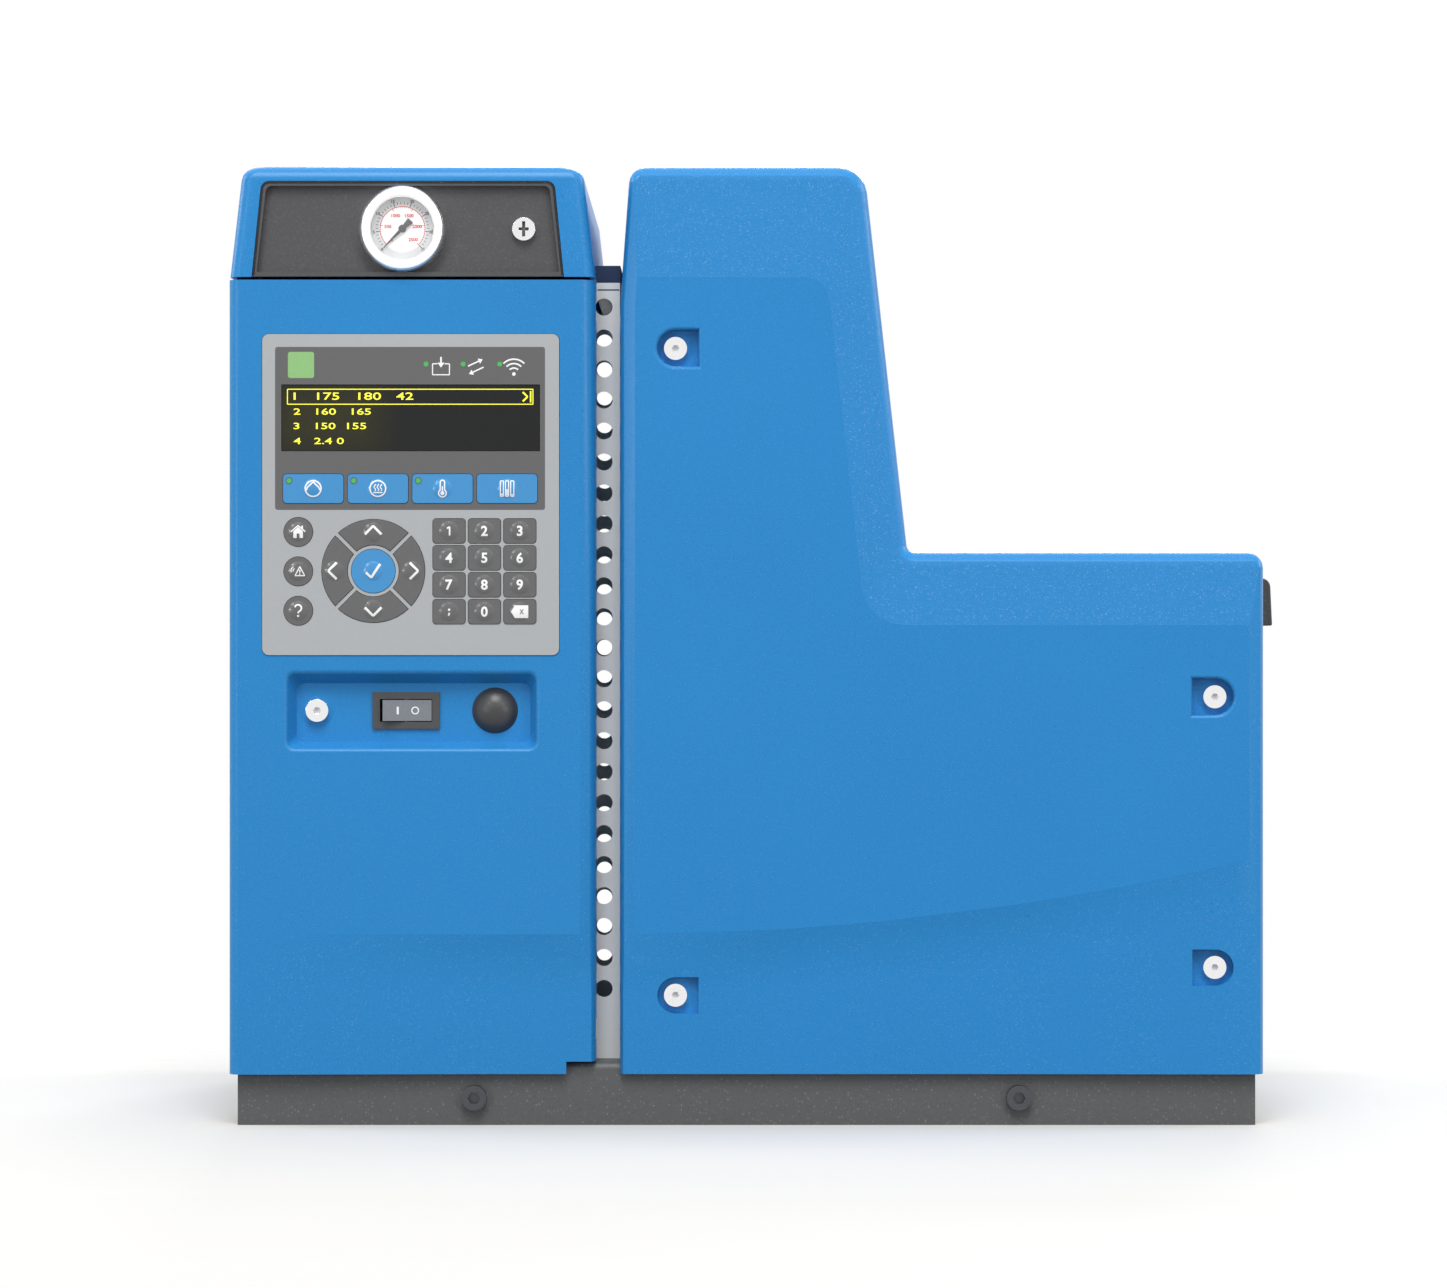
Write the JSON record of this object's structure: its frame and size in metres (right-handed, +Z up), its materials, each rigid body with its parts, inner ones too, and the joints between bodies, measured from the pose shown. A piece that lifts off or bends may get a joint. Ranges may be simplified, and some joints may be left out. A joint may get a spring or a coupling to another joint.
{
  "type": "hot melt glue unit",
  "caption": "Bench melter with a hinged control door and keypad, a heated tank under a hinged lid, an air-driven pump and hose ports behind.",
  "frame": {"origin": "centre of the base's mounting hole pattern on the bench", "axes": "+X to the right of the control front, -Y out of the front, +Z up"},
  "size_m": [0.557, 0.3391, 0.5],
  "materials": {
    "base_grey": "speckled powder coat",
    "dark_screw": "black oxide",
    "divider_grey": "satin paint",
    "case_blue": "satin paint",
    "cover_blue": "satin moulded",
    "insert_grey": "fine grain",
    "polished": "polished",
    "lens": "clear",
    "pointer_black": "matt",
    "cast_metal": "cast",
    "steel": "turned",
    "insulation": "woven glass",
    "board_green": "solder mask",
    "black_plastic": "moulded",
    "brass": "turned",
    "seal": "matt",
    "panel_grey": "satin",
    "display_black": "gloss",
    "switch_black": "satin",
    "key_grey": "satin membrane",
    "key_blue": "satin membrane"
  },
  "bodies": {
    "frame": {"sub_base": "base_grey", "base_screws": "dark_screw", "vent_divider": "divider_grey", "enclosure_box": "case_blue", "enclosure_frame": "case_blue", "top_cap": "cover_blue", "gauge_panel": "insert_grey", "gauge_case": "polished", "gauge_lens": "lens", "regulator_body": "cast_metal", "front_cover": "cover_blue", "cover_screws": "polished", "rear_cover": "case_blue", "tank": "cast_metal", "tank_heaters": "steel", "tank_insulation": "insulation", "manifold": "cast_metal", "hose_fittings": "steel", "pump_body": "cast_metal", "main_board": "board_green", "rear_connectors": "black_plastic", "air_inlet": "brass", "hinge_pins": "steel"},
    "door": {"enclosure_door": "cover_blue", "control_panel": "panel_grey", "display_board": "display_black", "switch_housing": "switch_black", "port_cap": "black_plastic", "door_screw": "polished"},
    "lid": {"tank_lid": "cover_blue", "lid_grip": "black_plastic", "lid_seal": "seal"},
    "rocker_body": {"rocker": "switch_black"},
    "pointer_body": {"gauge_pointer": "pointer_black"},
    "regulator_knob": {"regulator_screw": "polished"},
    "pump_shaft": {"pump_rod": "steel"},
    "key_1_body": {"key_1": "key_grey"},
    "key_2_body": {"key_2": "key_grey"},
    "key_3_body": {"key_3": "key_grey"},
    "key_4_body": {"key_4": "key_grey"},
    "key_5_body": {"key_5": "key_grey"},
    "key_6_body": {"key_6": "key_grey"},
    "key_7_body": {"key_7": "key_grey"},
    "key_8_body": {"key_8": "key_grey"},
    "key_9_body": {"key_9": "key_grey"},
    "key_point_body": {"key_point": "key_grey"},
    "key_0_body": {"key_0": "key_grey"},
    "key_delete_body": {"key_delete": "key_grey"},
    "key_pump_body": {"key_pump": "key_blue"},
    "key_heat_body": {"key_heat": "key_blue"},
    "key_temperature_body": {"key_temperature": "key_blue"},
    "key_levels_body": {"key_levels": "key_blue"},
    "key_home_body": {"key_home": "key_grey"},
    "key_alarm_body": {"key_alarm": "key_grey"},
    "key_help_body": {"key_help": "key_grey"},
    "key_right_body": {"key_right": "key_grey"},
    "key_up_body": {"key_up": "key_grey"},
    "key_left_body": {"key_left": "key_grey"},
    "key_down_body": {"key_down": "key_grey"},
    "key_confirm_body": {"key_confirm": "key_blue"}
  },
  "joints": [
    {"name": "door_swing", "type": "hinge", "parent": "frame", "child": "door", "pos_m": [-0.0865, -0.148, 0.24], "axis": [0, 0, 1], "range_deg": [0, 105]},
    {"name": "lid_swing", "type": "hinge", "parent": "frame", "child": "lid", "pos_m": [0.096, 0.025, 0.2915], "axis": [0, -1, 0], "range_deg": [0, 95]},
    {"name": "power_rocker", "type": "hinge", "parent": "door", "child": "rocker_body", "pos_m": [-0.1777, -0.1492, 0.2163], "axis": [0, 0, -1], "range_deg": [0, 18]},
    {"name": "pressure_pointer", "type": "hinge", "parent": "frame", "child": "pointer_body", "pos_m": [-0.179, -0.158, 0.467], "axis": [0, 1, 0], "range_deg": [0, 270], "stiffness_Nm_per_rad": 0.002},
    {"name": "pressure_screw", "type": "hinge", "parent": "frame", "child": "regulator_knob", "pos_m": [-0.116, -0.157, 0.467], "axis": [0, 1, 0], "range_deg": [-540, 540]},
    {"name": "pump_stroke", "type": "slide", "parent": "frame", "child": "pump_shaft", "axis": [0, 0, 1], "range_m": [0, 0.019]},
    {"name": "key_1_press", "type": "slide", "parent": "door", "child": "key_1_body", "axis": [0, 1, 0], "range_m": [0, 0.0006], "stiffness_N_per_m": 600},
    {"name": "key_2_press", "type": "slide", "parent": "door", "child": "key_2_body", "axis": [0, 1, 0], "range_m": [0, 0.0006], "stiffness_N_per_m": 600},
    {"name": "key_3_press", "type": "slide", "parent": "door", "child": "key_3_body", "axis": [0, 1, 0], "range_m": [0, 0.0006], "stiffness_N_per_m": 600},
    {"name": "key_4_press", "type": "slide", "parent": "door", "child": "key_4_body", "axis": [0, 1, 0], "range_m": [0, 0.0006], "stiffness_N_per_m": 600},
    {"name": "key_5_press", "type": "slide", "parent": "door", "child": "key_5_body", "axis": [0, 1, 0], "range_m": [0, 0.0006], "stiffness_N_per_m": 600},
    {"name": "key_6_press", "type": "slide", "parent": "door", "child": "key_6_body", "axis": [0, 1, 0], "range_m": [0, 0.0006], "stiffness_N_per_m": 600},
    {"name": "key_7_press", "type": "slide", "parent": "door", "child": "key_7_body", "axis": [0, 1, 0], "range_m": [0, 0.0006], "stiffness_N_per_m": 600},
    {"name": "key_8_press", "type": "slide", "parent": "door", "child": "key_8_body", "axis": [0, 1, 0], "range_m": [0, 0.0006], "stiffness_N_per_m": 600},
    {"name": "key_9_press", "type": "slide", "parent": "door", "child": "key_9_body", "axis": [0, 1, 0], "range_m": [0, 0.0006], "stiffness_N_per_m": 600},
    {"name": "key_point_press", "type": "slide", "parent": "door", "child": "key_point_body", "axis": [0, 1, 0], "range_m": [0, 0.0006], "stiffness_N_per_m": 600},
    {"name": "key_0_press", "type": "slide", "parent": "door", "child": "key_0_body", "axis": [0, 1, 0], "range_m": [0, 0.0006], "stiffness_N_per_m": 600},
    {"name": "key_delete_press", "type": "slide", "parent": "door", "child": "key_delete_body", "axis": [0, 1, 0], "range_m": [0, 0.0006], "stiffness_N_per_m": 600},
    {"name": "key_pump_press", "type": "slide", "parent": "door", "child": "key_pump_body", "axis": [0, 1, 0], "range_m": [0, 0.0006], "stiffness_N_per_m": 600},
    {"name": "key_heat_press", "type": "slide", "parent": "door", "child": "key_heat_body", "axis": [0, 1, 0], "range_m": [0, 0.0006], "stiffness_N_per_m": 600},
    {"name": "key_temperature_press", "type": "slide", "parent": "door", "child": "key_temperature_body", "axis": [0, 1, 0], "range_m": [0, 0.0006], "stiffness_N_per_m": 600},
    {"name": "key_levels_press", "type": "slide", "parent": "door", "child": "key_levels_body", "axis": [0, 1, 0], "range_m": [0, 0.0006], "stiffness_N_per_m": 600},
    {"name": "key_home_press", "type": "slide", "parent": "door", "child": "key_home_body", "axis": [0, 1, 0], "range_m": [0, 0.0006], "stiffness_N_per_m": 600},
    {"name": "key_alarm_press", "type": "slide", "parent": "door", "child": "key_alarm_body", "axis": [0, 1, 0], "range_m": [0, 0.0006], "stiffness_N_per_m": 600},
    {"name": "key_help_press", "type": "slide", "parent": "door", "child": "key_help_body", "axis": [0, 1, 0], "range_m": [0, 0.0006], "stiffness_N_per_m": 600},
    {"name": "key_right_press", "type": "slide", "parent": "door", "child": "key_right_body", "axis": [0, 1, 0], "range_m": [0, 0.0006], "stiffness_N_per_m": 600},
    {"name": "key_up_press", "type": "slide", "parent": "door", "child": "key_up_body", "axis": [0, 1, 0], "range_m": [0, 0.0006], "stiffness_N_per_m": 600},
    {"name": "key_left_press", "type": "slide", "parent": "door", "child": "key_left_body", "axis": [0, 1, 0], "range_m": [0, 0.0006], "stiffness_N_per_m": 600},
    {"name": "key_down_press", "type": "slide", "parent": "door", "child": "key_down_body", "axis": [0, 1, 0], "range_m": [0, 0.0006], "stiffness_N_per_m": 600},
    {"name": "key_confirm_press", "type": "slide", "parent": "door", "child": "key_confirm_body", "axis": [0, 1, 0], "range_m": [0, 0.0006], "stiffness_N_per_m": 600}
  ]
}
